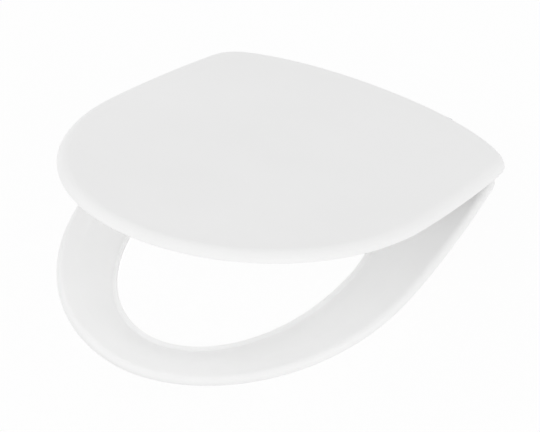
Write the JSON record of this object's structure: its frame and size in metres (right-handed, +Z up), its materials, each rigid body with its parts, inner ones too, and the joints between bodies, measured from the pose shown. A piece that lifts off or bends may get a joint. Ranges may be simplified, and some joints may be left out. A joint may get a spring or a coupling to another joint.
{
  "type": "toilet seat",
  "caption": "Slim egg-shaped toilet seat: a hollow lid whose rounded rim hangs over an open ring with a lip, both hinged on metal posts with studs for fixing to the pan.",
  "frame": {"origin": "midway between the two fixing studs, on the plane of the pan's top face", "axes": "+X along the hinge line, -Y to the front of the seat, +Z up"},
  "size_m": [0.3612, 0.483, 0.2285],
  "materials": {
    "white_moulding": "smooth gloss white",
    "post_metal": "polished plating",
    "steel": "bright drawn steel",
    "bush_plastic": "natural moulded bush",
    "soft_rubber": "matt pale grey",
    "nut_plastic": "matt white moulding"
  },
  "bodies": {
    "base": {"hinge_post_left": "post_metal", "hinge_post_right": "post_metal", "hinge_pin_left": "steel", "hinge_pin_right": "steel", "pin_screw_left": "steel", "pin_screw_right": "steel", "post_gasket_left": "soft_rubber", "post_gasket_right": "soft_rubber", "fixing_stud_left": "steel", "fixing_stud_right": "steel", "cone_bush_left": "soft_rubber", "cone_bush_right": "soft_rubber", "washer_left": "steel", "washer_right": "steel", "wing_nut_left": "nut_plastic", "wing_nut_right": "nut_plastic"},
    "ring": {"seat_ring": "white_moulding", "ring_bush_left": "bush_plastic", "ring_bush_right": "bush_plastic", "ring_bumper_front_left": "soft_rubber", "ring_bumper_front_right": "soft_rubber", "ring_bumper_rear_left": "soft_rubber", "ring_bumper_rear_right": "soft_rubber"},
    "lid": {"lid": "white_moulding", "lid_bush_left": "bush_plastic", "lid_bush_right": "bush_plastic", "lid_bumper_left": "soft_rubber", "lid_bumper_right": "soft_rubber"}
  },
  "joints": [
    {"name": "ring_hinge", "type": "hinge", "parent": "base", "child": "ring", "pos_m": [0, 0.009, 0.0154], "axis": [-1, 0, 0], "range_deg": [0, 92]},
    {"name": "lid_hinge", "type": "hinge", "parent": "ring", "child": "lid", "pos_m": [0, 0.009, 0.0154], "axis": [-1, 0, 0], "range_deg": [-18.7, 74.3]}
  ]
}
